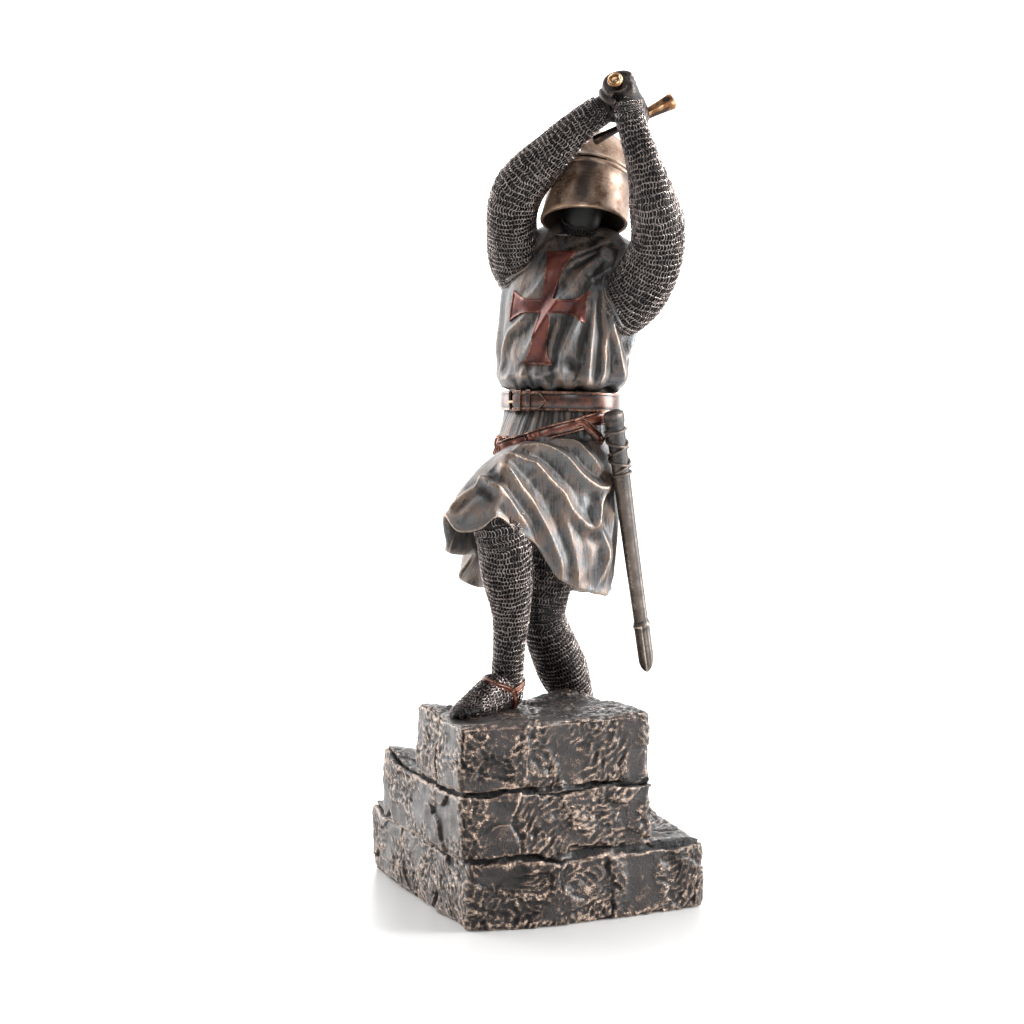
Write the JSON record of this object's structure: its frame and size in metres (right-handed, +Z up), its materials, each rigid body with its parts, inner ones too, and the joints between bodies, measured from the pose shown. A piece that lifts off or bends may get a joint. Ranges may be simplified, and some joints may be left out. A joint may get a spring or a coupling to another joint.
{
  "type": "medieval knight statue",
  "caption": "Cast bronze figurine of a knight in mail, helm and surcoat swinging a sword overhead on a stepped plinth of rough stone courses.",
  "frame": {"origin": "centre of the plinth's underside, at its bottom block", "axes": "+Z up; -Y out of the steps' broad front face; +X towards the open side tread of the bottom course"},
  "size_m": [0.1334, 0.1236, 0.3339],
  "materials": {
    "stone_bronze": "dark brown patina over cast rock, rubbed through to gold on the edges",
    "patinated_bronze": "brown and grey-green patina, dark in the hollows and rubbed pale on the ridges",
    "bright_bronze": "satin gold-brown bronze"
  },
  "bodies": {
    "root": {"plinth": "stone_bronze", "knight": "patinated_bronze", "sword": "bright_bronze", "scabbard": "patinated_bronze"}
  },
  "joints": []
}
